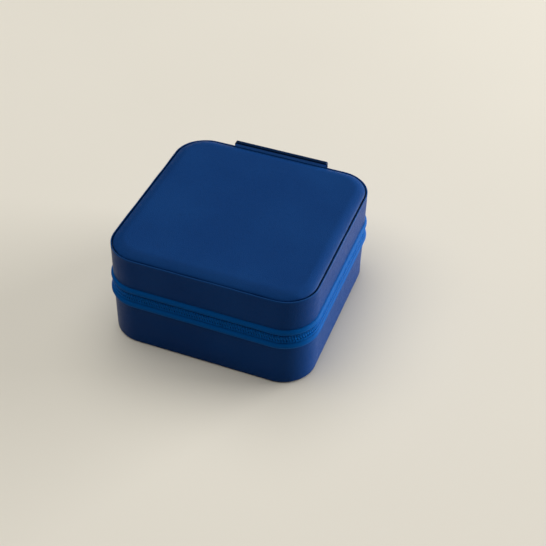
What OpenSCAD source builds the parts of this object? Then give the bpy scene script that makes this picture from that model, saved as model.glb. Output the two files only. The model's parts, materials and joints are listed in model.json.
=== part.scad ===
// Small square travel jewelry case: a leather-covered base and lid that meet at
// a zip, with a leather hinge strap at the back and a velvet-lined inside.
// Millimetres. The origin is the middle of the underside, the front faces -Y
// and the hinge strap is at +Y.

/* [Case] */
// Outside width of the case, left to right
case_w = 100; // [96:1:110]
// Outside depth of the case, front to back
case_d = 100; // [96:1:110]
// Radius of the four upright corners, on the outside
corner_r = 16; // [15:0.5:18]

/* [Heights] */
// Top of the base's leather wall
base_wall_top = 23.1; // [21:0.1:23.5]
// Height of the parting between base and lid
parting_z = 28.7; // [28:0.1:30]
// Bottom of the lid's leather wall
lid_wall_bottom = 34.3; // [34:0.1:36]
// Top of the raised edge around the lid's top panel
rim_z = 51; // [50:0.1:53]
// How far the padded top panel rises above the raised edge
dome_rise = 2.2; // [1.6:0.1:2.6]

/* [Sheets] */
// Thickness of the leather skin
leather_t = 0.8; // [0.6:0.1:1]
// Thickness of the stiff board in the walls
board_t = 1.7; // [1.5:0.1:2]
// Thickness of the velvet-wrapped card that lines the base and rises as a neck
neck_t = 1.5; // [1.2:0.1:1.8]
// Height of the neck above the parting
neck_rise = 4.3; // [3:0.1:5]
// Width of the seam groove around the top panel
groove_w = 0.4; // [0.3:0.1:1]

/* [Zip] */
// Radius of the rolled edge of each zip tape
tape_roll_r = 1.7; // [1.5:0.1:1.7]
// How far the base's tape stands proud of the wall
base_tape_bulge = 1.4; // [1:0.1:1.4]
// How far the lid's tape stands proud of the wall
lid_tape_bulge = 1.1; // [1:0.1:1.3]
// Radius of each coil
coil_r = 0.8; // [0.7:0.05:0.8]

/* [Hinge strap] */
// Width of the hinge strap
strap_w = 49; // [40:1:60]
// Thickness of the hinge strap
strap_t = 2.4; // [1.6:0.1:2.6]
// Height of the strap that is left free to fold
strap_fold = 3.5; // [3.2:0.1:4]

/* [Zip slider] */
// Place of the slider along the left side when the case is shut
slider_y = 27; // [24:1:29]
// Length of the slider along the zip
slider_l = 9; // [8:0.5:10]
// Length of the pull tab's plate
tab_l = 16; // [12:1:18]

/* [Inside] */
// Number of ring rolls
ring_rolls = 7; // [5:1:8]
// Length of each ring roll, across the case
roll_l = 26.4; // [22:0.2:28]
// Number of necklace hooks in the lid
hooks = 4; // [3:1:5]
// Distance of each divider from the middle of the case
divider_y = 15; // [12:0.5:18]

/* [Hidden] */
$fn = 64;
tiny = 0.01;

ring_roll_names = [for (i = [1:ring_rolls]) str("ring_roll_", i)];
hook_names = [for (i = [1:hooks]) str("necklace_hook_", i)];

leather_color = "#16356a";
tape_color = "#0b4a8c";
velvet_color = "#3d5686";
card_color = "#5b5a57";
foam_color = "#d9d7cc";
metal_color = "#c9cacb";

// Insets from the outside of the wall to each layer
frame_in = leather_t;
lining_in = leather_t + board_t;
neck_gap = 1;
neck_in = lining_in + neck_gap;
cavity_in = neck_in + neck_t;
lid_lining_t = 0.6;

// The channel behind the coils, where the slider's back plate runs
zip_channel = 2.7;
base_frame_top = parting_z - zip_channel;
lid_frame_bottom = parting_z + zip_channel;

// The bottom, from the underside up
bottom_leather_t = 1;
turn_in = 5;
turn_in_z = 0.4;
bottom_board_t = 1.8;
floor_z = bottom_leather_t + bottom_board_t;
lining_floor_t = 1.2;
inside_z = floor_z + lining_floor_t;
neck_top = parting_z + neck_rise;

// The lid's top, from the top panel down
groove_depth = 1.6;
frame_top = rim_z - groove_depth;
top_board_t = 1.8;
lining_panel_t = 1.2;
ceiling_z = frame_top - top_board_t - lining_panel_t;
panel_in = leather_t + groove_w;
panel_shoulder_z = rim_z - 0.1;
panel_top_z = rim_z + dome_rise;
panel_roll = 5;

// Zip, with heights measured from the parting
web_front = 1.2;
web_back = 1.5;
tape_in_z = 2.2;
web_edge_z = 0.7;
coil_z = 1.35;
coil_inset = 0.35;
stop_l = 2;
stop_r = 0.8;
stop_inset = 0.2;

// Hinge strap
strap_y = case_d / 2;
strap_bottom = 5;
strap_top = rim_z + 2;
strap_end_r = 1;

// Slider, with distances measured outwards from the wall and up from the parting
plate_out = 1.2;
plate_t = 0.8;
plate_h = 6;
plate_r = 4.9;
post_r = 0.5;
post_back = 2.5;
back_plate_in = 1.8;
back_plate_t = 0.6;
back_plate_l = 8;
back_plate_bottom = 2;
back_plate_top = 0.45;
crown_r = 0.5;
crown_half = 2.2;
crown_out = plate_out + plate_t + 1.7;
link_wire_r = 0.4;
link_bend_r = 1.1;
link_l = 4.5;
tab_rod_r = 0.45;
tab_w = 6;
tab_t = 1;
tab_gap = 1.9;
tab_arm_y = 2.2;
tab_rim = 0.8;
tab_recess = 0.2;

// Inside pieces
roll_gap = 0.4;
roll_top = 28;
cavity_clear = 0.3;
roll_span = case_d - 2 * cavity_in - 2 * cavity_clear;
roll_pitch = roll_span / ring_rolls;
roll_w = roll_pitch - roll_gap;
roll_x = -case_w / 2 + cavity_in + cavity_clear;
partition_t = 2;
partition_x = roll_x + roll_l + cavity_clear;
partition_top = 30;
divider_t = 1.8;
divider_top = 30.5;
divider_lift = 0.1;
strip_w = 64;
strip_d = 8;
strip_t = 1;
strip_y = -34;
hook_pitch = 15;
hook_r = 0.6;
hook_flange_r = 1.6;
hook_flange_t = 0.6;
hook_stem = 3;
hook_bend_r = 2;
hook_tip = 1.5;
hook_ball_r = 0.9;
pouch_w = 72;
pouch_front = 4;
pouch_back = 42;
pouch_h = 6;
pouch_t = 0.8;
elastic_d = 4;
elastic_t = 0.5;

// ---- Shared shapes ----

// The case's outline, moved in from the outside of the wall
module outline(inset) {
    w = case_w - 2 * inset;
    d = case_d - 2 * inset;
    r = corner_r - inset;
    square([w - 2 * r, d], center = true);
    square([w, d - 2 * r], center = true);
    for (x = [-1, 1], y = [-1, 1])
        translate([x * (w / 2 - r), y * (d / 2 - r)]) circle(r);
}

// A flat sheet with the case's outline
module sheet(inset, bottom, top) {
    translate([0, 0, bottom]) linear_extrude(top - bottom) outline(inset);
}

// An upright wall that follows the case's outline
module wall(outside, inside, bottom, top) {
    difference() {
        sheet(outside, bottom, top);
        sheet(inside, bottom - 1, top + 1);
    }
}

// Carries a section round the case: x is the distance out from the wall
module around_case() {
    for (side = [0:3]) {
        along_x = side % 2 == 1;
        reach = (along_x ? case_d : case_w) / 2;
        half = (along_x ? case_w : case_d) / 2 - corner_r;
        rotate(90 * side) {
            translate([reach, 0, 0]) rotate([90, 0, 0])
                linear_extrude(2 * half, center = true) children();
            translate([reach - corner_r, half, 0])
                rotate_extrude(angle = 90) translate([corner_r, 0]) children();
        }
    }
}

// A padded panel: an upright edge, a rolled shoulder and a flat middle
module padded_panel(inset, bottom, shoulder, top, roll) {
    rise = top - shoulder;
    r = (roll * roll + rise * rise) / (2 * rise);
    around_case()
        intersection() {
            translate([-inset - roll, top - r]) circle(r, $fn = 256);
            translate([-inset - roll, bottom]) square([roll, top - bottom]);
        }
    sheet(inset + roll, bottom, top);
}

// Removes the stretch at the middle of the back, behind the hinge strap
module open_at_strap(width) {
    difference() {
        children();
        translate([-width / 2, case_d / 2 - 4, 0]) cube([width, 8, rim_z]);
    }
}

// Turns a lid part over the parting so that it serves the base
module below_parting() {
    translate([0, 0, parting_z]) mirror([0, 0, 1]) children();
}

module above_parting() {
    translate([0, 0, parting_z]) children();
}

// A straight round bar that stands on the origin
module bar(r, length) {
    cylinder(r = r, h = length);
}

// ---- Base ----

module base_bottom_leather() {
    color(leather_color) sheet(turn_in, 0, bottom_leather_t);
}

module base_bottom_board() {
    color(card_color) sheet(lining_in, bottom_leather_t, floor_z);
}

module base_wall_frame() {
    color(card_color) wall(frame_in, lining_in, bottom_leather_t, base_frame_top);
}

// The side skin, with its lower edge turned in under the case
module base_side_leather() {
    color(leather_color) {
        wall(0, frame_in, turn_in_z, base_wall_top);
        wall(0, turn_in, turn_in_z, bottom_leather_t);
    }
}

module base_lining_floor() {
    color(velvet_color) sheet(cavity_in, floor_z, inside_z);
}

// The velvet-wrapped card that lines the wall and rises inside the lid
module base_lining_neck() {
    color(velvet_color) {
        wall(lining_in, cavity_in, floor_z, base_frame_top);
        wall(neck_in, cavity_in, base_frame_top, neck_top);
    }
}

// One foam roll: rings stand in the gaps between the rolls
module ring_roll(i) {
    y = -roll_span / 2 + (i - 0.5) * roll_pitch;
    straight = roll_top - inside_z - roll_w / 2;
    color(velvet_color)
        intersection() {
            translate([roll_x, y, inside_z]) rotate([90, 0, 90]) linear_extrude(roll_l) {
                translate([-roll_w / 2, 0]) square([roll_w, straight]);
                translate([0, straight]) circle(roll_w / 2);
            }
            sheet(cavity_in + cavity_clear, inside_z - 1, roll_top + 1);
        }
}

module ring_partition() {
    color(velvet_color)
        translate([partition_x, -case_d / 2 + cavity_in, inside_z])
            cube([partition_t, case_d - 2 * cavity_in, partition_top - inside_z]);
}

// A loose divider with a rounded upper edge, standing on the floor
module divider(y) {
    left = partition_x + partition_t + cavity_clear;
    length = case_w / 2 - cavity_in - cavity_clear - left;
    bottom = inside_z + divider_lift;
    shoulder = divider_top - divider_t / 2;
    color(velvet_color) {
        translate([left, y - divider_t / 2, bottom])
            cube([length, divider_t, shoulder - bottom]);
        translate([left, y, shoulder]) rotate([0, 90, 0]) bar(divider_t / 2, length);
    }
}

module divider_front() {
    divider(-divider_y);
}

module divider_back() {
    divider(divider_y);
}

// ---- Zip ----

// Section of a tape above the parting: a rolled edge, a shelf that covers the
// board's cut edge, and the woven web
module tape_section(bulge) {
    intersection() {
        translate([bulge - tape_roll_r, tape_in_z + tape_roll_r]) circle(tape_roll_r);
        translate([-leather_t, tape_in_z])
            square([leather_t + bulge, 2 * tape_roll_r]);
    }
    translate([-lining_in, tape_in_z])
        square([lining_in - coil_inset, zip_channel - tape_in_z]);
    translate([-web_back, web_edge_z])
        square([web_back - web_front, zip_channel - web_edge_z]);
}

module zip_tape(bulge) {
    color(tape_color) open_at_strap(strap_w) around_case() tape_section(bulge);
}

// The row of teeth, as the round bead that the coil fills
module zip_coil() {
    color(tape_color)
        open_at_strap(strap_w + 2 * stop_l)
            around_case() translate([-coil_inset, coil_z]) circle(coil_r);
}

// A crimped stop on each end of the coil, beside the strap
module zip_stops() {
    color(metal_color)
        for (x = [-strap_w / 2 - stop_l, strap_w / 2])
            translate([x, case_d / 2 - stop_inset, coil_z])
                rotate([0, 90, 0]) bar(stop_r, stop_l);
}

module zip_tape_base() {
    below_parting() zip_tape(base_tape_bulge);
}

module zip_tape_lid() {
    above_parting() zip_tape(lid_tape_bulge);
}

module zip_coil_base() {
    below_parting() zip_coil();
}

module zip_coil_lid() {
    above_parting() zip_coil();
}

module zip_stops_base() {
    below_parting() zip_stops();
}

module zip_stops_lid() {
    above_parting() zip_stops();
}

// ---- Hinge strap ----

// Half of the strap, from the fold upwards, with rounded corners at its far end
module strap_half(length) {
    color(leather_color)
        translate([0, strap_y + strap_t, 0]) rotate([90, 0, 0]) linear_extrude(strap_t) {
            translate([-strap_w / 2, 0]) square([strap_w, length - strap_end_r]);
            translate([-strap_w / 2 + strap_end_r, 0])
                square([strap_w - 2 * strap_end_r, length]);
            for (x = [-1, 1])
                translate([x * (strap_w / 2 - strap_end_r), length - strap_end_r])
                    circle(strap_end_r);
        }
}

module hinge_strap_base() {
    top = parting_z - strap_fold / 2;
    translate([0, 0, top]) mirror([0, 0, 1]) strap_half(top - strap_bottom);
}

module hinge_strap_lid() {
    bottom = parting_z + strap_fold / 2;
    translate([0, 0, bottom]) strap_half(strap_top - bottom);
}

// ---- Lid ----

module lid_wall_frame() {
    color(card_color) wall(frame_in, lining_in, lid_frame_bottom, frame_top);
}

module lid_top_board() {
    color(card_color) sheet(lining_in, frame_top - top_board_t, frame_top);
}

module lid_side_leather() {
    color(leather_color) wall(0, frame_in, lid_wall_bottom, rim_z);
}

module lid_foam_pad() {
    color(foam_color)
        padded_panel(panel_in + leather_t, frame_top, panel_shoulder_z - leather_t,
                     panel_top_z - leather_t, panel_roll - leather_t);
}

// The top panel's skin, wrapped over the foam and down into the seam groove
module lid_top_leather() {
    color(leather_color)
        difference() {
            padded_panel(panel_in, frame_top, panel_shoulder_z, panel_top_z, panel_roll);
            padded_panel(panel_in + leather_t, frame_top - 1, panel_shoulder_z - leather_t,
                         panel_top_z - leather_t, panel_roll - leather_t);
        }
}

module lid_lining_panel() {
    color(velvet_color) sheet(lining_in, ceiling_z, ceiling_z + lining_panel_t);
}

module lid_lining_wall() {
    color(velvet_color)
        wall(lining_in, lining_in + lid_lining_t, lid_frame_bottom, ceiling_z);
}

module hook_strip() {
    color(leather_color)
        translate([0, strip_y, ceiling_z - strip_t]) linear_extrude(strip_t) {
            square([strip_w - strip_d, strip_d], center = true);
            for (x = [-1, 1])
                translate([x * (strip_w - strip_d) / 2, 0]) circle(strip_d / 2);
        }
}

// A hook that stands out of the strip and turns towards the front of the case
module necklace_hook(i) {
    flange_z = ceiling_z - strip_t - hook_flange_t;
    bend_z = flange_z - hook_stem;
    color(metal_color)
        translate([(i - (hooks + 1) / 2) * hook_pitch, strip_y, 0]) {
            translate([0, 0, flange_z]) cylinder(r = hook_flange_r, h = hook_flange_t);
            translate([0, 0, bend_z]) bar(hook_r, hook_stem + tiny);
            translate([0, -hook_bend_r, bend_z]) rotate([90, 0, 90])
                rotate_extrude(angle = -90) translate([hook_bend_r, 0]) circle(hook_r);
            translate([0, -hook_bend_r, bend_z - hook_bend_r]) rotate([90, 0, 0])
                bar(hook_r, hook_tip);
            translate([0, -hook_bend_r - hook_tip, bend_z - hook_bend_r])
                sphere(hook_ball_r);
        }
}

// The gathered pocket, open towards the front of the case
module pouch() {
    depth = pouch_back - pouch_front;
    color(velvet_color)
        translate([-pouch_w / 2, pouch_front, ceiling_z - pouch_h])
            difference() {
                cube([pouch_w, depth, pouch_h]);
                translate([pouch_t, -1, pouch_t])
                    cube([pouch_w - 2 * pouch_t, depth + 1 - pouch_t, pouch_h]);
            }
}

// The elastic sewn inside the pocket's mouth
module pouch_elastic() {
    color(leather_color)
        translate([-pouch_w / 2 + pouch_t, pouch_front, ceiling_z - pouch_h + pouch_t])
            cube([pouch_w - 2 * pouch_t, elastic_d, elastic_t]);
}

// ---- Slider and pull ----

// Places a slider part: x is out from the left wall, y is forwards, z is up
module at_slider() {
    translate([-case_w / 2, slider_y, parting_z]) rotate(180) children();
}

// The front plate, the post between the coils and the back plate behind the base's tape
module slider_body() {
    color(metal_color) at_slider() {
        translate([plate_out, 0, 0]) rotate([90, 0, 90]) linear_extrude(plate_t)
            intersection() {
                square([slider_l, plate_h], center = true);
                circle(plate_r);
            }
        translate([-back_plate_in, -post_back, 0]) rotate([0, 90, 0])
            bar(post_r, back_plate_in + plate_out);
        translate([-back_plate_in - back_plate_t, -back_plate_l / 2, -back_plate_bottom])
            cube([back_plate_t, back_plate_l, back_plate_bottom + back_plate_top]);
    }
}

// The bridge on the front plate that the link hangs from
module slider_crown() {
    leg = crown_out - plate_out - plate_t;
    color(metal_color) at_slider() translate([crown_out, 0, 0]) {
        translate([0, crown_half, 0]) rotate([90, 0, 0]) bar(crown_r, 2 * crown_half);
        for (y = [-crown_half, crown_half]) translate([0, y, 0]) {
            sphere(crown_r);
            translate([-leg, 0, 0]) rotate([0, 90, 0]) bar(crown_r, leg);
        }
    }
}

// A long wire ring that hangs from the crown
module pull_link() {
    color(metal_color) at_slider() translate([crown_out, 0, 0]) rotate([90, 0, 0]) {
        rotate_extrude(angle = 180) translate([link_bend_r, 0]) circle(link_wire_r);
        translate([0, -link_l, 0]) rotate(180) rotate_extrude(angle = 180)
            translate([link_bend_r, 0]) circle(link_wire_r);
        for (x = [-link_bend_r, link_bend_r])
            translate([x, 0, 0]) rotate([90, 0, 0]) bar(link_wire_r, link_l);
    }
}

// The finger tab: a rod through the link, two arms and a plate with a shallow recess
module pull_tab() {
    color(metal_color) at_slider() translate([crown_out, 0, -link_l]) {
        translate([0, tab_w / 2 - tab_rod_r, 0]) rotate([90, 0, 0])
            bar(tab_rod_r, tab_w - 2 * tab_rod_r);
        for (y = [-tab_arm_y, tab_arm_y])
            translate([-tab_rod_r, y - tab_rod_r, -tab_gap])
                cube([2 * tab_rod_r, 2 * tab_rod_r, tab_gap]);
        difference() {
            translate([-tab_t / 2, 0, 0]) tab_plate(0, tab_t);
            translate([tab_t / 2 - tab_recess, 0, 0]) tab_plate(tab_rim, tab_t);
        }
    }
}

// The tab's outline, square above and half round below
module tab_plate(inset, thickness) {
    half = tab_w / 2 - inset;
    end_z = tab_gap + tab_l - tab_w / 2;
    rotate([90, 0, 90]) linear_extrude(thickness) {
        translate([-half, -end_z]) square([2 * half, end_z - tab_gap - inset]);
        translate([0, -end_z]) circle(half);
    }
}

// ---- Every node ----

base_bottom_leather();
base_bottom_board();
base_wall_frame();
base_side_leather();
base_lining_floor();
base_lining_neck();
ring_partition();
divider_front();
divider_back();
zip_tape_base();
zip_coil_base();
zip_stops_base();
hinge_strap_base();
for (i = [1:ring_rolls])
    ring_roll(i);
lid_wall_frame();
lid_top_board();
lid_side_leather();
lid_foam_pad();
lid_top_leather();
lid_lining_panel();
lid_lining_wall();
zip_tape_lid();
zip_coil_lid();
zip_stops_lid();
hinge_strap_lid();
hook_strip();
pouch();
pouch_elastic();
for (i = [1:hooks])
    necklace_hook(i);
slider_body();
slider_crown();
pull_link();
pull_tab();
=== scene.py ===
"""The looks of the jewelry case, built round its CAD frame.

Shapes are worked out in millimetres, in the frame's own axes: -Y is the front, +Y the hinge
strap, -X the side with the zip slider. Meshes are written in metres.
"""

import json
import math

import bmesh
import bpy
import numpy as np
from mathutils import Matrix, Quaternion, Vector, noise


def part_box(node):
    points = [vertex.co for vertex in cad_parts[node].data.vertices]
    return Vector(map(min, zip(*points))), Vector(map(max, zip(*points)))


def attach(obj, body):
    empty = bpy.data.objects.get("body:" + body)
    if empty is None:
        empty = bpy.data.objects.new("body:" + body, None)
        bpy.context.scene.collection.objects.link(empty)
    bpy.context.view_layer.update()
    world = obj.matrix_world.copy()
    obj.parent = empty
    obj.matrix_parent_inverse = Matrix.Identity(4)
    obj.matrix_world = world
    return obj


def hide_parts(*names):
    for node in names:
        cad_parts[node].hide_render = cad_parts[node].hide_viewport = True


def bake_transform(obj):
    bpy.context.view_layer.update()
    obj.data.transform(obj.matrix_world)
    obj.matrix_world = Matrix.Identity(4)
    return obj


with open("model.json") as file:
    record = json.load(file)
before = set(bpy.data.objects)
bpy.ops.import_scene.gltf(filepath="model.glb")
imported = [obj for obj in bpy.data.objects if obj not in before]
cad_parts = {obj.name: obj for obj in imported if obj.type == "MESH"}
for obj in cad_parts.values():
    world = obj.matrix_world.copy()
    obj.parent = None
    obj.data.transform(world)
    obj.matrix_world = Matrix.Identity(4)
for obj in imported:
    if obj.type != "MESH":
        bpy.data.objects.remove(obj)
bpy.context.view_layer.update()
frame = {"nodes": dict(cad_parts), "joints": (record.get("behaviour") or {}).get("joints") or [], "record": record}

MM = 0.001
TAU = 2 * math.pi


# ---------------------------------------------------------------- sizes from the frame


def box_mm(node):
    """Lowest and highest corner of a CAD node, in millimetres."""
    low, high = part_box(node)
    return np.array(low) / MM, np.array(high) / MM


def joint(name):
    """One of the frame's joints, by its name."""
    return next(j for j in frame["joints"] if j["name"] == name)


def count_nodes(start):
    """How many CAD nodes have names that begin like this."""
    return sum(name.startswith(start) for name in frame["nodes"])


HALF = box_mm("base_side_leather")[1][0]  # half the width, and half the depth
CORNER_R = 16.0  # of the upright corners
BASE_TURN_Z = box_mm("base_side_leather")[0][2]  # where the wall's leather turns under the base
BASE_TOP = box_mm("base_side_leather")[1][2]
LID_BOTTOM = box_mm("lid_side_leather")[0][2]
RIM_Z = box_mm("lid_side_leather")[1][2]
FRAME_TOP = box_mm("lid_wall_frame")[1][2]
PARTING_Z = joint("lid_hinge")["pos_m"][2] / MM
LEATHER_T = HALF - box_mm("base_wall_frame")[1][0]
PANEL_IN = HALF - box_mm("lid_top_leather")[1][0]
PANEL_TOP = box_mm("lid_top_leather")[1][2]
STRAP_HALF = box_mm("hinge_strap_base")[1][0]
STOP_L = box_mm("zip_stops_base")[1][0] - STRAP_HALF
RING_ROLLS = count_nodes("ring_roll_")
HOOKS = count_nodes("necklace_hook_")
ROLL_R = 1.7  # of the tapes' rolled edges
COIL_PITCH = 1.25
COIL_WIRE_R = 0.32
CROWN = 0.3  # how far the top panel rises between its shoulders


# ---------------------------------------------------------------- the way round the case


def case_length():
    """Once round the wall."""
    return 8 * (HALF - CORNER_R) + TAU * CORNER_R


def on_case(s):
    """Points on the wall and outward normals at distances s, clockwise from the middle of the back."""
    flat, arc = HALF - CORNER_R, TAU * CORNER_R / 4
    s = np.mod(np.asarray(s, float) + flat, 8 * flat + 4 * arc)
    side = np.minimum(s // (2 * flat + arc), 3)
    along = s - side * (2 * flat + arc)
    turn = np.clip((along - 2 * flat) / arc, 0, 1) * math.pi / 2
    run = np.minimum(along, 2 * flat) - flat
    x = np.where(along < 2 * flat, run, flat + CORNER_R * np.sin(turn))
    y = np.where(along < 2 * flat, HALF, flat + CORNER_R * np.cos(turn))
    angle = -side * math.pi / 2
    c, q = np.cos(angle), np.sin(angle)
    nx, ny = np.sin(turn), np.cos(turn)
    points = np.stack([x * c - y * q, x * q + y * c], -1)
    normals = np.stack([nx * c - ny * q, nx * q + ny * c], -1)
    return points, normals


def stations(spacing, gap=0.0):
    """Even distances round the case. With a gap, they leave out that half width each side of the strap."""
    length = case_length()
    if gap:
        count = round((length - 2 * gap) / spacing)
        return np.linspace(gap, length - gap, count + 1)
    return np.linspace(0, length, round(length / spacing), endpoint=False)


def rough(points, size, seed):
    """Smooth noise from -1 to 1 at each point, with lumps of about that size."""
    shift = Vector((seed * 7.31, seed * 3.17, seed * 5.73))
    flat = np.asarray(points, float).reshape(-1, np.shape(points)[-1]) / size
    if flat.shape[1] == 2:
        flat = np.column_stack([flat, np.zeros(len(flat))])
    found = [noise.noise(Vector(p) + shift) for p in flat]
    return np.array(found).reshape(np.shape(points)[:-1])


def smooth(t):
    """A soft step from 0 to 1 as t goes from 0 to 1."""
    t = np.clip(t, 0, 1)
    return t * t * (3 - 2 * t)


def stacked(*values):
    """Points from coordinates that broadcast together."""
    return np.stack(np.broadcast_arrays(*values), -1)


# ---------------------------------------------------------------- mesh tools


def new_object(name, points, faces, material, around=None, edge=None):
    """A shaded mesh from points in millimetres.

    around holds each point's surface coordinates in millimetres, and edge how far it is on a cut edge.
    """
    mesh = bpy.data.meshes.new(name)
    mesh.from_pydata((np.asarray(points) * MM).tolist(), [], faces)
    if around is not None:
        layer = mesh.attributes.new("around", "FLOAT_VECTOR", "POINT")
        layer.data.foreach_set("vector", np.asarray(around, np.float32).ravel())
    if edge is not None:
        layer = mesh.attributes.new("edge", "FLOAT", "POINT")
        layer.data.foreach_set("value", np.asarray(edge, np.float32).ravel())
    tidy(mesh)
    mesh.shade_smooth()
    mesh.materials.append(material)
    obj = bpy.data.objects.new(name, mesh)
    bpy.context.scene.collection.objects.link(obj)
    return obj


def tidy(mesh):
    """Merges doubled points and turns every face outwards."""
    work = bmesh.new()
    work.from_mesh(mesh)
    bmesh.ops.remove_doubles(work, verts=work.verts, dist=0.002 * MM)
    bmesh.ops.recalc_face_normals(work, faces=work.faces)
    work.to_mesh(mesh)
    work.free()


def grid_faces(rows, columns, wrap_rows=False, wrap_columns=False):
    """Quads over a grid of points numbered row by row."""
    faces = []
    for i in range(rows if wrap_rows else rows - 1):
        a, b = i * columns, (i + 1) % rows * columns
        for j in range(columns if wrap_columns else columns - 1):
            k = (j + 1) % columns
            faces.append((a + j, a + k, b + k, b + j))
    return faces


def end_faces(rows, columns):
    """One face over the first row of a grid of closed rings, and one over the last."""
    return [tuple(range(columns)), tuple(range((rows - 1) * columns, rows * columns))]


def closed_rings(grid):
    """Points and faces of nested rings, closed over a middle point. grid[:, 0] is the outermost ring."""
    rows, columns = grid.shape[:2]
    middle = rows * columns
    points = np.concatenate([grid.reshape(-1, 3), [[0, 0, grid[:, -1, 2].mean()]]])
    faces = grid_faces(rows, columns, wrap_rows=True)
    for i in range(rows):
        faces.append((i * columns + columns - 1, (i + 1) % rows * columns + columns - 1, middle))
    return points, faces


def shrunk_rings(ring, count):
    """Even copies of a ring on the way to the middle, without the ring itself and the middle."""
    return [ring * [k, k, 1] for k in np.linspace(1, 0, count + 2)[1:-1]]


def rounded(corners, step, arc_steps=5):
    """A closed outline through (x, y, radius) corners, with its long edges split every step."""
    outline = []
    for i, (x, y, r) in enumerate(corners):
        here = np.array([x, y], float)
        back = np.array(corners[i - 1][:2]) - here
        ahead = np.array(corners[(i + 1) % len(corners)][:2]) - here
        back, ahead = back / np.linalg.norm(back), ahead / np.linalg.norm(ahead)
        if r <= 0:
            outline.append(here)
            continue
        half = math.acos(np.clip(back @ ahead, -1, 1)) / 2
        centre = here + (back + ahead) / np.linalg.norm(back + ahead) * r / math.sin(half)
        first = here + back * r / math.tan(half) - centre
        last = here + ahead * r / math.tan(half) - centre
        sweep_angle = math.pi - 2 * half
        for t in np.linspace(0, 1, arc_steps + 1):
            a = math.sin((1 - t) * sweep_angle) / math.sin(sweep_angle)
            b = math.sin(t * sweep_angle) / math.sin(sweep_angle)
            outline.append(centre + a * first + b * last)
    dense = []
    for p, q in zip(outline, outline[1:] + outline[:1]):
        parts = max(1, round(np.linalg.norm(q - p) / step))
        dense += [p + (q - p) * k / parts for k in range(parts)]
    return np.array(dense)


def round_case(name, section, s, material, change, edge=None, open_ends=False):
    """Carries a closed section (distance out, height) round the case. change moves it from place to place."""
    points, normals = on_case(s)
    out = np.tile(section[:, 0], (len(s), 1))
    z = np.tile(section[:, 1], (len(s), 1))
    out, z = change(s[:, None], out, z)
    xy = points[:, None, :] + normals[:, None, :] * out[..., None]
    cloud = np.concatenate([xy, z[..., None]], -1).reshape(-1, 3)
    step = np.linalg.norm(np.roll(section, -1, 0) - section, axis=1)
    down = np.concatenate([[0], np.cumsum(step)[:-1]])
    around = stacked(s[:, None], down[None, :], 0.0 * z)
    rows, columns = len(s), len(section)
    faces = grid_faces(rows, columns, wrap_rows=not open_ends, wrap_columns=True)
    if open_ends:
        faces += end_faces(rows, columns)
    marks = None if edge is None else np.tile(edge, (rows, 1))
    return new_object(name, cloud, faces, material, around.reshape(-1, 3), marks)


def tube(path, r, sides, up=(0, 0, 1)):
    """Points and faces of a round tube along a path, with capped ends."""
    path = np.asarray(path, float)
    ahead = np.roll(path, -1, 0) - np.roll(path, 1, 0)
    ahead[0], ahead[-1] = path[1] - path[0], path[-1] - path[-2]
    ahead /= np.linalg.norm(ahead, axis=1)[:, None]
    across = np.cross(ahead, np.asarray(up, float))
    across /= np.maximum(np.linalg.norm(across, axis=1), 1e-6)[:, None]
    over = np.cross(across, ahead)
    a = np.arange(sides) * TAU / sides
    r = np.broadcast_to(np.asarray(r, float), len(path))
    ring = np.cos(a)[None, :, None] * across[:, None] + np.sin(a)[None, :, None] * over[:, None]
    cloud = (path[:, None] + ring * r[:, None, None]).reshape(-1, 3)
    return cloud, grid_faces(len(path), sides, wrap_columns=True) + end_faces(len(path), sides)


def gather(parts):
    """Joins (points, faces) pairs into one."""
    points, faces, start = [], [], 0
    for cloud, quads in parts:
        points.append(cloud)
        faces += [tuple(i + start for i in f) for f in quads]
        start += len(cloud)
    return np.concatenate(points), faces


def body_of_node(node):
    """The moving body that a CAD node belongs to."""
    bodies = frame["record"]["behaviour"]["bodies"]
    return next(body for body, nodes in bodies.items() if node in nodes)


def slot_of(node):
    """The name that the record gives to a CAD node's finish."""
    return next(p["material_slot"] for p in frame["record"]["subparts"] if p["node"] == node)


def place(obj, body, slot, *nodes):
    """Rides the piece on its body and hides the CAD nodes that it stands for. slot, the finish's name, is not
    used.
    """
    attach(obj, body)
    if nodes:
        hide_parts(*nodes)


def softened(node, material, width, segments=3):
    """A copy of a CAD node with its sharp edges rounded off, which stands for it."""
    source = frame["nodes"][node]
    mesh = source.data.copy()
    mesh.materials.clear()
    mesh.materials.append(material)
    for name in ("custom_normal", "sharp_edge", "sharp_face"):
        if name in mesh.attributes:
            mesh.attributes.remove(mesh.attributes[name])
    tidy(mesh)
    mesh.shade_smooth()
    obj = bpy.data.objects.new(node + "_soft", mesh)
    bpy.context.scene.collection.objects.link(obj)
    bevel = obj.modifiers.new("round", "BEVEL")
    bevel.width, bevel.segments = width * MM, segments
    bevel.limit_method, bevel.angle_limit = "ANGLE", math.radians(40)
    obj.modifiers.new("even", "WEIGHTED_NORMAL")
    place(obj, body_of_node(node), slot_of(node), node)


# ---------------------------------------------------------------- materials


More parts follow.
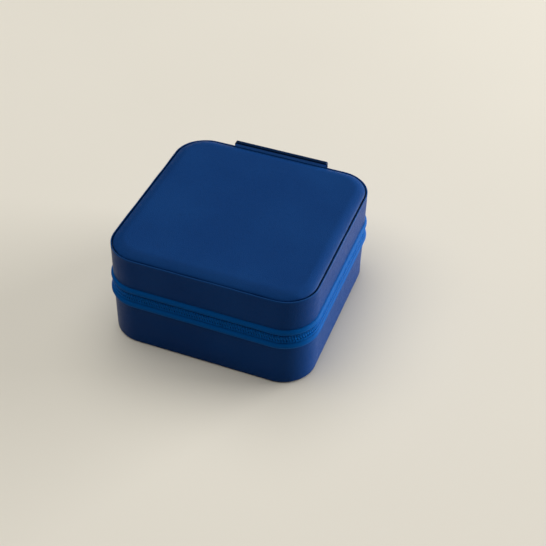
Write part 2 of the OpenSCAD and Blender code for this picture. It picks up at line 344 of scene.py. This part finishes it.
class Nodes:
    """A short way to write a node tree."""

    def __init__(self, name):
        self.material = bpy.data.materials.new(name)
        self.material.use_nodes = True
        self.tree = self.material.node_tree
        self.shader = self.tree.nodes["Principled BSDF"]

    def add(self, kind, inputs=None, **settings):
        node = self.tree.nodes.new("ShaderNode" + kind)
        for key, value in settings.items():
            setattr(node, key, value)
        for key, value in (inputs or {}).items():
            self.feed(node.inputs[key], value)
        return node

    def feed(self, socket, value):
        """Links an output to the socket, or sets a plain value on it."""
        if isinstance(value, bpy.types.NodeSocket):
            self.tree.links.new(value, socket)
        else:
            socket.default_value = value

    def set(self, **values):
        """Feeds the shader's own sockets, named with _ for each space."""
        for key, value in values.items():
            self.feed(self.shader.inputs[key.replace("_", " ")], value)

    def math(self, operation, a, b=0.0):
        return self.add("Math", {0: a, 1: b}, operation=operation).outputs[0]

    def mix(self, share, a, b):
        node = self.add("Mix", {"Factor": share, "A": a, "B": b}, data_type="RGBA")
        return node.outputs["Result"]

    def spread(self, value, low, high, to_low=0.0, to_high=1.0):
        inputs = {"Value": value, "From Min": low, "From Max": high, "To Min": to_low, "To Max": to_high}
        return self.add("MapRange", inputs, clamp=True).outputs["Result"]

    def noise(self, where, size_mm, detail, roughness=0.55):
        inputs = {"Vector": where, "Scale": 1 / (size_mm * MM), "Detail": detail, "Roughness": roughness}
        return self.add("TexNoise", inputs).outputs["Fac"]

    def cells(self, where, size_mm, feature="F1"):
        inputs = {"Vector": where, "Scale": 1 / (size_mm * MM)}
        return self.add("TexVoronoi", inputs, feature=feature).outputs["Distance"]

    def place(self):
        """The point in the object's own space, in metres."""
        return self.add("TexCoord").outputs["Object"]

    def around(self):
        """The surface coordinates kept on the mesh, in millimetres: along, across."""
        vector = self.add("Attribute", attribute_name="around").outputs["Vector"]
        parts = self.add("SeparateXYZ", {0: vector})
        return parts.outputs["X"], parts.outputs["Y"]

    def bump(self, height, depth_mm, strength):
        inputs = {"Height": height, "Distance": depth_mm * MM, "Strength": strength}
        return self.add("Bump", inputs).outputs["Normal"]


def darker(color, share):
    """A colour with its red, green and blue scaled down."""
    return [c * share for c in color[:3]] + [1]


def leather(name, deep, light, edge_color=None, painted_lit_back=None, roughness=0.48):
    """Fine pebble-grained leather cloth: cells with soft creases between, and a slow change of tone.

    Where the mesh's "edge" is 1 the leather's cut edge shows, and where it is 2 the face is painted a lighter
    blue: painted light on a face that lies in shade.
    """
    n = Nodes(name)
    where = n.place()
    pebbles = n.cells(where, 0.75, "SMOOTH_F1")
    creases = n.spread(n.cells(where, 0.75, "DISTANCE_TO_EDGE"), 0.0, 0.16)
    fine = n.noise(where, 0.35, 4.0)
    broad = n.noise(where, 38, 2.0)
    tone = n.mix(n.spread(broad, 0.35, 0.65), deep, light)
    # Painted shade: the creases between the pebbles are painted darker, as well as sunk by the bump.
    tone = n.mix(n.spread(creases, 0.0, 1.0, 0.30, 0.0), tone, darker(deep, 0.45))
    if edge_color:
        edge = n.add("Attribute", attribute_name="edge").outputs["Fac"]
        tone = n.mix(n.spread(edge, 0.0, 1.0), tone, edge_color)
        # Painted light: where the mark is 2, the lighter back colour stands in for light on a face in shade.
        if painted_lit_back:
            tone = n.mix(n.spread(edge, 1.0, 2.0), tone, painted_lit_back)
    height = n.math("ADD", n.math("MULTIPLY", creases, 0.7), n.math("MULTIPLY", fine, 0.5))
    height = n.math("SUBTRACT", height, n.math("MULTIPLY", pebbles, 0.5))
    gloss = n.spread(n.noise(where, 2.5, 3.0), 0.3, 0.7, roughness - 0.05, roughness + 0.07)
    n.set(Base_Color=tone, Roughness=gloss, IOR=1.33, Specular_IOR_Level=0.12)
    n.set(Specular_Tint=(0.2, 0.5, 1.0, 1.0), Normal=n.bump(height, 0.07, 0.55))
    return n.material


def woven(name, deep, light):
    """Zip tape: a fine twill of slanting ribs crossed by the weft."""
    rib = 0.55
    n = Nodes(name)
    along, across = n.around()
    slant = n.math("ADD", along, n.math("MULTIPLY", across, 0.55))
    warp = n.math("SINE", n.math("MULTIPLY", slant, TAU / rib))
    weft = n.math("SINE", n.math("MULTIPLY", across, TAU / (rib * 0.8)))
    weave = n.math("ADD", n.math("MULTIPLY", warp, 0.65), n.math("MULTIPLY", weft, 0.35))
    share = n.spread(weave, -1.0, 1.0)
    patch = n.noise(n.place(), 5, 3.0)
    tone = n.mix(share, deep, light)
    tone = n.mix(n.spread(patch, 0.3, 0.7, 0.0, 0.25), tone, deep)
    n.set(Base_Color=tone, Roughness=n.spread(weave, -1.0, 1.0, 0.62, 0.48))
    n.set(IOR=1.33, Specular_IOR_Level=0.08, Specular_Tint=(0.1, 0.6, 1.0, 1.0))
    n.set(Normal=n.bump(share, 0.09, 0.6))
    return n.material


def nylon(name, color, dark):
    """The coil's monofilament: satin plastic with a faint change along each loop."""
    n = Nodes(name)
    share = n.noise(n.place(), 0.9, 2.0)
    n.set(Base_Color=n.mix(n.spread(share, 0.3, 0.7), dark, color))
    n.set(Roughness=n.spread(share, 0.3, 0.7, 0.36, 0.46), IOR=1.33, Specular_IOR_Level=0.12)
    n.set(Specular_Tint=(0.1, 0.6, 1.0, 1.0), Normal=n.bump(share, 0.02, 0.5))
    return n.material


def velvet(name, deep, light):
    """Short pile: a soft nap that catches light at its edges, with brushed patches."""
    n = Nodes(name)
    where = n.place()
    pile = n.noise(where, 0.28, 2.0, 0.7)
    brushed = n.noise(where, 11, 4.0, 0.6)
    share = n.math("ADD", n.math("MULTIPLY", pile, 0.5), n.math("MULTIPLY", brushed, 0.5))
    n.set(Base_Color=n.mix(n.spread(share, 0.35, 0.65), deep, light))
    n.set(Roughness=n.spread(brushed, 0.3, 0.7, 0.85, 0.97), Specular_IOR_Level=0.15)
    n.set(Sheen_Weight=0.75, Sheen_Roughness=0.38, Sheen_Tint=(0.45, 0.6, 1.0, 1.0))
    n.set(Normal=n.bump(pile, 0.10, 0.55))
    return n.material


def metal(name, color):
    """Nickel plate: bright, with fine rubbing marks and a little dulling in patches."""
    n = Nodes(name)
    where = n.place()
    stretch = n.add("Mapping", {"Vector": where, "Scale": (1.0, 1.0, 9.0)}).outputs[0]
    rubs = n.noise(stretch, 0.9, 3.0, 0.7)
    dull = n.noise(where, 3.5, 3.0)
    n.set(Base_Color=n.mix(n.spread(dull, 0.4, 0.7), color, darker(color, 0.86)))
    n.set(Metallic=1.0, Roughness=n.spread(dull, 0.3, 0.7, 0.2, 0.32))
    n.set(Normal=n.bump(rubs, 0.012, 0.35))
    return n.material


def card(name, color):
    """Board dyed through: pressed fibres."""
    n = Nodes(name)
    fibres = n.noise(n.place(), 0.6, 5.0, 0.7)
    n.set(Base_Color=n.mix(n.spread(fibres, 0.3, 0.7), darker(color, 0.7), color))
    n.set(Roughness=0.9, Normal=n.bump(fibres, 0.08, 0.5))
    return n.material


def foam(name, color):
    """Open-cell foam."""
    n = Nodes(name)
    pores = n.cells(n.place(), 0.7)
    n.set(Base_Color=n.mix(n.spread(pores, 0.1, 0.6), color, darker(color, 0.6)))
    n.set(Roughness=0.95, Normal=n.bump(pores, 0.2, 0.6))
    return n.material


def thread(name, color):
    """Twisted sewing thread."""
    n = Nodes(name)
    ply = n.noise(n.place(), 0.25, 2.0)
    n.set(Base_Color=n.mix(n.spread(ply, 0.3, 0.7), darker(color, 0.7), color))
    n.set(Roughness=0.7, Specular_IOR_Level=0.15, Normal=n.bump(ply, 0.05, 0.6))
    return n.material


def floor_material(name, color):
    """A plain matte floor with a very slow change of tone."""
    n = Nodes(name)
    cloud = n.noise(n.place(), 420, 3.0)
    n.set(Base_Color=n.mix(n.spread(cloud, 0.35, 0.65), darker(color, 0.97), color))
    n.set(Roughness=0.9, Specular_IOR_Level=0.05)
    return n.material


SIDE_BLUES = (0.0015, 0.028, 0.136, 1), (0.0022, 0.034, 0.154, 1)
LEATHER = leather("leather", (0.0040, 0.034, 0.143, 1), (0.0050, 0.040, 0.160, 1))
LEATHER_SIDE = leather("leather_side", *SIDE_BLUES, edge_color=(0.006, 0.045, 0.17, 1), roughness=0.35)
LEATHER_STRAP = leather(
    "leather_strap", *SIDE_BLUES,
    edge_color=(0.0014, 0.011, 0.042, 1),
    # Painted light: a lighter blue for the strap's inner face above the rim, which lies in shade.
    painted_lit_back=(0.060, 0.24, 0.68, 1),
)
TAPE = woven("zip_tape_weave", (0.0006, 0.058, 0.235, 1), (0.0010, 0.080, 0.315, 1))
# Painted light: the coil's blues are brighter than the tape's, making up for the shade in the groove between the
# tape rolls.
COIL = nylon("zip_coil_nylon", (0.0012, 0.118, 0.45, 1), (0.0008, 0.090, 0.375, 1))
VELVET = velvet("velvet", (0.020, 0.045, 0.125, 1), (0.034, 0.070, 0.175, 1))
NICKEL = metal("nickel", (0.80, 0.78, 0.75, 1))
CARD = card("dyed_board", (0.012, 0.028, 0.070, 1))
FOAM = foam("foam", (0.72, 0.70, 0.62, 1))
THREAD = thread("thread", (0.004, 0.045, 0.18, 1))


# ---------------------------------------------------------------- leather skins


def side_waver(amount, low, high):
    """Lets a skin stand in and out a little, less at its edges."""

    def change(s, out, z):
        points = stacked(s / 24, z / 9)
        fade = smooth((z - low) / 2) * smooth((high - z) / 2)
        outside = out > -0.5
        return out + np.where(outside, amount * fade * rough(points, 1.0, 2.0), 0), z

    return change


def base_skin():
    """The base's side band, turned in under the base as far as the bottom's leather."""
    turn_in = HALF - box_mm("base_bottom_leather")[1][0]
    corners = [
        (0, BASE_TURN_Z, 0.7),
        (0, BASE_TOP, 0.35),
        (-LEATHER_T, BASE_TOP, 0.2),
        (-LEATHER_T, BASE_TURN_Z + 0.6, 0),
        (-turn_in, BASE_TURN_Z + 0.6, 0),
        (-turn_in, BASE_TURN_Z, 0.25),
    ]
    section = rounded(corners, 1.1)
    skin = round_case(
        "base_skin", section, stations(1.4), LEATHER_SIDE, side_waver(0.12, BASE_TURN_Z, BASE_TOP)
    )
    place(skin, "base", "leather", "base_side_leather")


def lid_skin():
    """The lid's side band. Its cut edge stands up round the top panel, paler where the cut shows."""
    edge_width = 0.5
    corners = [
        (0, LID_BOTTOM, 0.3),
        (0, RIM_Z, 0.22),
        (-edge_width, RIM_Z, 0.16),
        (-LEATHER_T, FRAME_TOP + 0.3, 0.2),
        (-LEATHER_T, LID_BOTTOM, 0.2),
    ]
    section = rounded(corners, 0.9)
    edge = smooth((section[:, 1] - RIM_Z + 0.5) / 0.45)
    waver = side_waver(0.10, LID_BOTTOM, RIM_Z)

    def change(s, out, z):
        out, z = waver(s, out, z)
        points = stacked(s / 7, 0 * z)
        lip = smooth((z - RIM_Z + 3) / 3)
        return out - 0.10 * lip * rough(points, 1.0, 5.0), z + 0.10 * lip * rough(points, 0.8, 6.0)

    skin = round_case("lid_skin", section, stations(1.2), LEATHER_SIDE, change, edge)
    place(skin, "lid", "leather", "lid_side_leather")


def top_panel():
    """The padded top: a tucked edge, a rolled shoulder and a slow crown, with puckers at the corners."""
    shoulder_width, lip = 5.8, RIM_Z - 0.45
    tucked = [0.30, 0.12, 0.02]
    rolled = [0.0, 0.03, 0.1, 0.22, 0.4, 0.65, 1.0, 1.5]
    level = [np.linspace(2.1, 9.0, 13), np.linspace(10.2, CORNER_R - PANEL_IN - 0.5, 4)]
    inset = np.concatenate([tucked, rolled, *level])
    s = stations(1.0)
    base, normals = on_case(s)
    arch = np.clip(inset / shoulder_width, 0, 1)
    shoulder = 0.55 * np.sqrt(1 - (1 - arch) ** 2) + 0.45 * np.sin(arch * math.pi / 2)
    z = lip + (PANEL_TOP - CROWN - lip) * shoulder
    z[:3] = FRAME_TOP + 0.02, FRAME_TOP + 0.45, lip - 0.35
    xy = base[:, None] - normals[:, None] * (PANEL_IN - 0.1 + inset)[None, :, None]
    cloud = np.concatenate([xy, np.broadcast_to(z[None, :, None], xy.shape[:2] + (1,))], -1)
    turning = smooth(np.min(np.abs(normals), axis=1) / 0.35)
    way = stacked(s, 0 * s)
    tucks = rough(way / 2.3, 1.0, 9.0) + 0.6 * rough(way / 1.1, 1.0, 4.0)
    seam = rough(way / 6, 1.0, 12.0)
    pucker_reach, crown_reach = 1.6, 48
    near = np.exp(-(((inset - 1.0) / pucker_reach) ** 2))
    cloud[..., 2] += (0.30 * tucks * turning + 0.05 * seam)[:, None] * near[None]
    pull = (0.18 * tucks * turning + 0.09 * seam)[:, None] * np.exp(-inset / pucker_reach)[None]
    cloud[..., :2] -= normals[:, None] * pull[..., None]
    grid = np.concatenate([cloud, np.stack(shrunk_rings(cloud[:, -1], 8), 1)], 1)
    far = np.linalg.norm(grid[..., :2], axis=-1)
    crown = CROWN * np.clip(1 - (far / crown_reach) ** 2, 0, 1)
    unrest = 0.05 * rough(grid[..., :2], 16, 3.0) * smooth((HALF - 6 - far) / 12)
    grid[..., 2] += crown + unrest
    skin = new_object("top_panel", *closed_rings(grid), LEATHER)
    thick = skin.modifiers.new("thickness", "SOLIDIFY")
    thick.thickness, thick.offset = 0.6 * MM, -1
    place(skin, "lid", "leather", "lid_top_leather")


def bottom_panel():
    """The flat leather under the base, with a small round at its edge."""
    high = box_mm("base_bottom_leather")[1]
    inset = HALF - high[0]
    s = stations(1.6)
    base, normals = on_case(s)
    steps = [(0.0, high[2]), (0.0, 0.35), (0.12, 0.12), (0.4, 0.0), (3.0, 0.0), (8.0, 0.0)]
    rim = [np.column_stack([base - normals * (inset + d), np.full(len(s), z)]) for d, z in steps]
    grid = np.stack(rim + shrunk_rings(rim[-1], 6), 1)
    panel = new_object("bottom_panel", *closed_rings(grid), LEATHER_SIDE)
    place(panel, "base", "leather", "base_bottom_leather")


# ---------------------------------------------------------------- zip


def tape(name, side, body, node):
    """A rolled band of tape: its web runs behind the coil, its shelf covers the board's cut edge.

    side is 1 above the parting and -1 below.
    """
    low, high = box_mm(node)
    covered = HALF - box_mm("base_lining_neck")[1][0]
    bulge = high[0] - HALF
    edge = max(abs(low[2] - PARTING_Z), abs(high[2] - PARTING_Z))
    inner = edge - 2 * ROLL_R
    web_edge, web_front, web_back = 0.75, -1.15, -1.5
    shelf = inner + 0.45
    corners = [
        (-LEATHER_T, edge, 0.1),
        (bulge, edge, ROLL_R * 0.92),
        (bulge, inner, ROLL_R * 0.98),
        (web_front, inner, 0.2),
        (web_front, web_edge, 0.1),
        (web_back, web_edge, 0.1),
        (web_back, inner, 0.1),
        (-covered, inner, 0.15),
        (-covered, shelf, 0),
        (-LEATHER_T, shelf, 0),
    ]
    section = rounded(corners, 0.5, 8)
    section[:, 1] = PARTING_Z + side * section[:, 1]

    def change(s, out, z):
        points = stacked(s / 9, 0.0 * z + side * 3)
        slow = stacked(s / 31, 0.0 * z + side * 5)
        full = smooth((out + 0.3) / 0.8)
        move = full * (0.05 * rough(points, 1.0, 1.0) + 0.10 * rough(slow, 1.0, 2.0) - 0.06)
        return out + move, z + 0.06 * full * rough(slow, 1.0, 7.0)

    band = round_case(name, section, stations(1.0, STRAP_HALF), TAPE, change, open_ends=True)
    place(band, body, "zip_tape", node)


def coil(name, side, body, node):
    """Nylon teeth: one hooked loop of filament for each pitch, its head locked between the other side's.

    Two rows of thread sew the loops down. side is 1 above the parting and -1 below.
    """
    outward_and_away = np.array([
        (-1.05, 1.95), (-0.50, 2.10), (0.02, 1.95), (0.20, 1.45),
        (0.24, 0.80), (0.20, 0.15), (0.02, -0.32), (-0.38, -0.48), (-0.72, -0.25),
    ])
    gap = STRAP_HALF + STOP_L + 0.4
    s = stations(COIL_PITCH, gap)
    if side < 0:
        s = s[:-1] + np.diff(s) / 2
    out, away = outward_and_away.T
    lean = 0.24 * (away - 1) / 2 * side
    wire = COIL_WIRE_R * np.where(away < 0.0, 1.12, 1.0)
    parts = []
    for k in s:
        at, normal = on_case(k + lean)
        path = np.column_stack([at + normal * out[:, None], PARTING_Z + side * away])
        tangent = np.append(on_case(k)[1] @ [[0, -1], [1, 0]], 0)
        parts.append(tube(path, wire, 6, up=tangent))
    thread_r = 0.15
    row = stations(0.42, gap)
    at, normal = on_case(row)
    phase = row * TAU / COIL_PITCH
    for height, stand in ((1.05, 0.47), (1.80, 0.37)):
        out = stand + 0.035 * (1 + np.cos(phase))
        z = PARTING_Z + side * (height + 0.05 * np.sin(phase))
        parts.append(tube(np.column_stack([at + normal * out[:, None], z]), thread_r, 5))
    points, faces = gather(parts)
    place(new_object(name, points, faces, COIL), body, "zip_coil", node)


# ---------------------------------------------------------------- hinge strap


def strap():
    """One thick leather strap from base to lid, with dark painted edges. It is creased and thinner at the parting.
    """
    low, high = box_mm("hinge_strap_base")[0], box_mm("hinge_strap_lid")[1]
    fold = box_mm("hinge_strap_lid")[0][2] - box_mm("hinge_strap_base")[1][2]
    half, r, thick = STRAP_HALF, 1.0, high[1] - low[1]
    paint_lap, paint_fade = 0.6, 0.25
    z = np.unique(np.round(np.concatenate([
        low[2] + r * (1 - np.cos(np.linspace(0, math.pi / 2, 8))),
        np.linspace(low[2] + r, PARTING_Z - fold, 14),
        np.linspace(PARTING_Z - fold, PARTING_Z + fold, 25),
        np.linspace(PARTING_Z + fold, high[2] - r, 14),
        high[2] - r * (1 - np.cos(np.linspace(0, math.pi / 2, 8))),
    ]), 4))
    tuck = np.maximum(np.maximum(low[2] + r - z, z - high[2] + r), 0)
    width = half - r + np.sqrt(np.maximum(r * r - tuck * tuck, 0.01))
    face_reach, face_points, face_margin = 0.86, 31, 1.4
    back_reach, back_points = 0.95, 25
    side = np.array([(1.0, 0.03), (1.0, 0.5), (1.0, 0.90), (0.985, 0.975), (0.95, 1.0)])
    face = np.column_stack([np.linspace(face_reach, -face_reach, face_points), np.ones(face_points)])
    back = np.column_stack([np.linspace(-back_reach, back_reach, back_points), np.zeros(back_points)])
    section = np.concatenate([side, face, side[::-1] * [-1, 1], back])
    paint = np.array([1, 1, 1, 1, 0.3])
    # The back face is marked 2, for its painted light.
    edge = np.concatenate([paint, np.zeros(face_points), paint[::-1], np.full(back_points, 2.0)])
    past = np.abs(section[:, 0]) > 0.9
    rows, marks = [], []
    for height, w in zip(z, width):
        inner = section[:, 0] / face_reach * (w - face_margin)
        across = np.where(past, np.sign(section[:, 0]) * (w - (1 - np.abs(section[:, 0])) * 8), inner)
        tip = min(height - low[2], high[2] - height)
        crease = 0.45 * math.exp(-(((height - PARTING_Z) / 0.8) ** 2))
        plump = 0.10 * smooth((w - np.abs(across)) / 2.5) * smooth(tip / 1.2)
        skin = thick - 0.12 - 0.35 * (1 - smooth(tip / 0.35)) - crease
        rows.append(stacked(across, low[1] + section[:, 1] * (skin + plump), height))
        # Painted light on the inner face: from 1 mm below the rim it is marked 2, a lighter blue, up to where the
        # dark edge paint laps over it near the top (marked 1).
        lining = 1 + smooth((tip - paint_lap) / paint_fade) if height > RIM_Z - 1 else 0.0
        marks.append(np.maximum(np.where(edge > 1, lining, edge), 1 - smooth(tip / 0.45)))
    grid = np.stack(rows)
    ripple = 0.06 * rough(grid[..., [0, 2]], 7, 8.0)
    grid[..., 1] += np.where(grid[..., 1] > low[1] + 0.5, ripple, 0)
    faces = grid_faces(*grid.shape[:2], wrap_columns=True) + end_faces(*grid.shape[:2])
    piece = new_object("hinge_strap", grid.reshape(-1, 3), faces, LEATHER_STRAP, edge=np.stack(marks))
    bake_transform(piece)
    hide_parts("hinge_strap_base", "hinge_strap_lid")
    outer, seam_inset = high[1] - 0.06, 2.2
    x = half - seam_inset
    foot, top = low[2] + seam_inset, high[2] - seam_inset
    below, above = PARTING_Z - fold - 0.6, PARTING_Z + fold + 0.6
    for name, body, route in (
        ("strap_stitches_base", "base", [(-x, below), (-x, foot), (x, foot), (x, below)]),
        ("strap_stitches_lid", "lid", [(-x, above), (-x, top), (x, top), (x, above)]),
    ):
        stitches(name, [(a, outer, b) for a, b in route], (0, 1, 0), body)


def stitches(name, route, outward, body, length=2.2, gap=0.8, r=0.24):
    """A row of sewn stitches along straight runs: each one a short bowed thread that dips in at its ends."""
    outward = np.asarray(outward, float)
    parts = []
    for a, b in zip(route[:-1], route[1:]):
        a, b = np.asarray(a, float), np.asarray(b, float)
        run = np.linalg.norm(b - a)
        count = max(1, round(run / (length + gap)))
        for k in range(count):
            t = (k + 0.5 + np.linspace(-0.5, 0.5, 7) * length / (length + gap)) / count
            bow = np.sin(np.linspace(0, math.pi, 7))
            path = a + (b - a) * t[:, None] + outward * (bow[:, None] * 0.26 - 0.16)
            parts.append(tube(path, r * (0.65 + 0.35 * bow), 6, up=outward))
    points, faces = gather(parts)
    place(new_object(name, points, faces, THREAD), body, "leather")


# ---------------------------------------------------------------- inside the base


def neck():
    """The velvet-wrapped card that lines the base and rises inside the lid, with a soft top edge."""
    low, high = box_mm("base_lining_neck")
    outer = high[0] - HALF
    step, card_t = 1, 1.5
    inner = outer - step - card_t
    top, step_z = high[2], PARTING_Z - 2.7
    corners = [
        (outer, low[2], 0),
        (outer, step_z, 0.3),
        (outer - step, step_z + 0.02, 0.2),
        (outer - step, top, 0.72),
        (inner, top, 0.72),
        (inner, low[2], 0),
    ]
    section = rounded(corners, 1.6)

    def change(s, out, z):
        points = stacked(s / 15, z / 12)
        inside = out < inner + 0.3
        return out + np.where(inside, 0.08 * rough(points, 1.0, 21.0) - 0.05, 0), z

    piece = round_case("neck_velvet", section, stations(1.5), VELVET, change)
    place(piece, "base", "velvet", "base_lining_neck")


def ring_roll(index):
    """One velvet roll: full along its middle, drawn in a little at its ends."""
    node = f"ring_roll_{index}"
    low, high = box_mm(node)
    centre_y = (low[1] + high[1]) / 2
    length, width, height = high - low
    half, end_round, end_pinch = width / 2, 2.4, 1.7
    top_r = half * 0.96
    corners = [(-half, 0, 1.0), (half, 0, 1.0), (half, height, top_r), (-half, height, top_r)]
    outline = rounded(corners, 1.5, 9)
    middle, size = np.array([0, height / 2]), np.array([half, height / 2])
    ends = np.array([0.0, 0.25, 0.7, 1.4, end_round, 4.0])
    rows = []
    for x in np.concatenate([ends, np.linspace(6, length - 6, 9), length - ends[::-1]]):
        inside = min(min(x, length - x) / end_round, 1.0)
        pinch = end_pinch * (1 - math.sqrt(1 - (1 - inside) ** 2))
        y, z = (middle + (outline - middle) * (1 - pinch / size)).T
        rows.append(stacked(low[0] + x, centre_y + y, low[2] + np.maximum(z, 0)))
    grid = np.stack(rows)
    lump = 0.16 * rough(grid, 9, index * 1.7)
    way = grid - [0, centre_y, low[2] + height / 2]
    way[..., 0] = 0
    way /= np.maximum(np.linalg.norm(way, axis=-1, keepdims=True), 1e-6)
    on_top = smooth((grid[..., 2] - low[2] - 3) / 6)
    grid += way * ((lump - 0.12) * on_top)[..., None]
    lining = 5.2
    grid = inside_corner(grid, HALF - lining, CORNER_R - lining)
    faces = grid_faces(*grid.shape[:2], wrap_columns=True) + end_faces(*grid.shape[:2])
    roll = new_object(f"ring_roll_velvet_{index}", grid.reshape(-1, 3), faces, VELVET)
    place(roll, "base", "ring_foam", node)


def inside_corner(grid, reach, r):
    """Pulls points that lie past the lining's rounded corners back onto them."""
    xy = grid[..., :2]
    past = np.maximum(np.abs(xy) - (reach - r), 0)
    far = np.linalg.norm(past, axis=-1, keepdims=True)
    share = np.where(far > r, r / np.maximum(far, 1e-6), 1)
    moved = np.sign(xy) * (np.minimum(np.abs(xy), reach - r) + past * share)
    return np.concatenate([moved, grid[..., 2:]], -1)


# ---------------------------------------------------------------- inside the lid


def pouch():
    """A gathered velvet pocket. Elastic draws its mouth in, and folds run back from it to the seam."""
    low, high = box_mm("pouch")
    half, depth = (high[0] - low[0]) / 2, high[1] - low[1]
    roof, drop = high[2] - 0.4, high[2] - low[2] - 1.5
    ruffle_limit = 1.8

    def cloth(u, t):
        """Where the cloth lies: u from -1 to 1 across, t from 0 at the mouth to 1 at the back seam."""
        seed = stacked(u * 11, 0 * u)
        folds = 2.2 * rough(seed, 1.0, 31.0) + 1.0 * rough(seed * 2.3, 1.0, 32.0)
        side = 1 - np.abs(u) ** 8
        back = np.sqrt(np.maximum(0, 1 - np.maximum(0, (t - 0.70) / 0.30) ** 2.2))
        swell = 0.74 + 0.26 * np.sin(math.pi * np.minimum(1, t * 1.15 + 0.12))
        ruffle = folds * (0.45 + 0.75 * (1 - smooth(t / 0.8))) * side * back
        z = roof - drop * side * back * swell + np.clip(ruffle, -ruffle_limit, ruffle_limit)
        sag = 0.8 * np.cos(u * math.pi / 2) * (1 - t)
        return stacked(u * (half - 0.4), low[1] + 0.5 + t * (depth - 0.8) + sag, z)

    u, t = np.linspace(-1, 1, 241), np.linspace(0, 1, 41)
    grid = cloth(u[None, :], t[:, None])
    piece = new_object("pouch_velvet", grid.reshape(-1, 3), grid_faces(len(t), len(u)), VELVET)
    thick = piece.modifiers.new("thickness", "SOLIDIFY")
    thick.thickness, thick.offset = 0.45 * MM, 0
    place(piece, "lid", "pouch_fabric", "pouch")
    u = np.linspace(-1, 1, 361)
    hem_r = 0.80 + 0.16 * np.cos(u * 110)
    points, faces = tube(cloth(u, 0 * u), hem_r, 10)
    place(new_object("pouch_elastic_hem", points, faces, VELVET), "lid", "pouch_fabric", "pouch_elastic")


def hook_strip():
    """The leather strip that carries the necklace hooks, sewn down along both its long edges."""
    softened("hook_strip", LEATHER, 0.3)
    low, high = box_mm("hook_strip")
    left, right, z = low[0] + 4.0, high[0] - 4.0, low[2] + 0.04
    seam_inset = 1.1
    for name, y in (
        ("strip_stitches_front", low[1] + seam_inset),
        ("strip_stitches_back", high[1] - seam_inset),
    ):
        route = [(left, y, z), (right, y, z)]
        stitches(name, route, (0, 0, -1), "lid", length=1.6, gap=0.6, r=0.17)


# ---------------------------------------------------------------- everything


def cad_finish(node, material):
    """Gives a CAD node that stays its own material."""
    obj = frame["nodes"][node]
    for slot in obj.material_slots:
        slot.material = material


base_skin()
lid_skin()
top_panel()
bottom_panel()
tape("zip_tape_weave_base", -1, "base", "zip_tape_base")
tape("zip_tape_weave_lid", 1, "lid", "zip_tape_lid")
coil("zip_teeth_base", -1, "base", "zip_coil_base")
coil("zip_teeth_lid", 1, "lid", "zip_coil_lid")
strap()
neck()
for number in range(1, RING_ROLLS + 1):
    ring_roll(number)
pouch()
hook_strip()
for part in ("base_bottom_board", "base_wall_frame", "lid_wall_frame", "lid_top_board"):
    cad_finish(part, CARD)
cad_finish("lid_foam_pad", FOAM)
for part in ("base_lining_floor", "lid_lining_panel", "lid_lining_wall"):
    cad_finish(part, VELVET)
softened("ring_partition", VELVET, 0.8, 4)
for part in ("divider_front", "divider_back"):
    softened(part, VELVET, 0.6, 4)
for part in ("zip_stops_base", "zip_stops_lid", "slider_body", "pull_tab"):
    softened(part, NICKEL, 0.18)
for part in ("slider_crown", "pull_link"):
    softened(part, NICKEL, 0.05, 1)
for number in range(1, HOOKS + 1):
    softened(f"necklace_hook_{number}", NICKEL, 0.12, 2)


# ---------------------------------------------------------------- stage, light and camera


def stage():
    """A wide pale floor, and a little warm light from all round."""
    bpy.ops.mesh.primitive_circle_add(vertices=96, radius=4.0, fill_type="NGON")
    floor = bpy.context.object
    floor.name = "floor"
    floor.data.materials.append(floor_material("pale_floor", (0.68, 0.65, 0.58, 1)))
    world = bpy.data.worlds.new("studio")
    bpy.context.scene.world = world
    world.use_nodes = True
    around = world.node_tree.nodes["Background"].inputs
    around["Color"].default_value = (0.80, 0.77, 0.72, 1)
    around["Strength"].default_value = 0.04


def area_light(name, place_m, target, size, watts, color):
    """A soft rectangular light, in metres and watts, that faces the target."""
    data = bpy.data.lights.new(name, "AREA")
    data.shape, data.size, data.size_y = "RECTANGLE", size[0], size[1]
    data.energy, data.color = watts, color
    lamp = bpy.data.objects.new(name, data)
    bpy.context.scene.collection.objects.link(lamp)
    lamp.location = place_m
    way = Vector(target) - Vector(place_m)
    lamp.rotation_mode = "QUATERNION"
    lamp.rotation_quaternion = way.to_track_quat("-Z", "Y")


def lights():
    """A low window at the back right, and a wide ceiling."""
    area_light("window", (1.26, 0.96, 0.20), (0, 0, 0.03), (1.3, 0.38), 57, (1.0, 0.99, 0.99))
    area_light("ceiling", (-0.4, 0.2, 1.8), (0, 0, 0), (3.0, 2.0), 46.5, (1.0, 0.985, 0.95))


def camera():
    """The photograph's viewing angle: from the front right, looking down, rolled a little."""
    azimuth, elevation, roll = math.radians(19.50), math.radians(41.94), math.radians(1.78)
    distance, lens = 0.5158, 71.29
    target = Vector((17.92, -5.97, 25.0)) * MM
    back = Vector((
        math.sin(azimuth) * math.cos(elevation),
        -math.cos(azimuth) * math.cos(elevation),
        math.sin(elevation),
    ))
    data = bpy.data.cameras.new("camera")
    data.lens, data.sensor_width = lens, 36
    data.clip_start, data.clip_end = 0.01, 50
    eye = bpy.data.objects.new("camera", data)
    bpy.context.scene.collection.objects.link(eye)
    eye.rotation_mode = "QUATERNION"
    eye.location = target + back * distance
    eye.rotation_quaternion = (-back).to_track_quat("-Z", "Y") @ Quaternion((0, 0, 1), roll)
    bpy.context.scene.camera = eye


stage()
lights()
camera()
bpy.context.scene.view_settings.view_transform = "Standard"
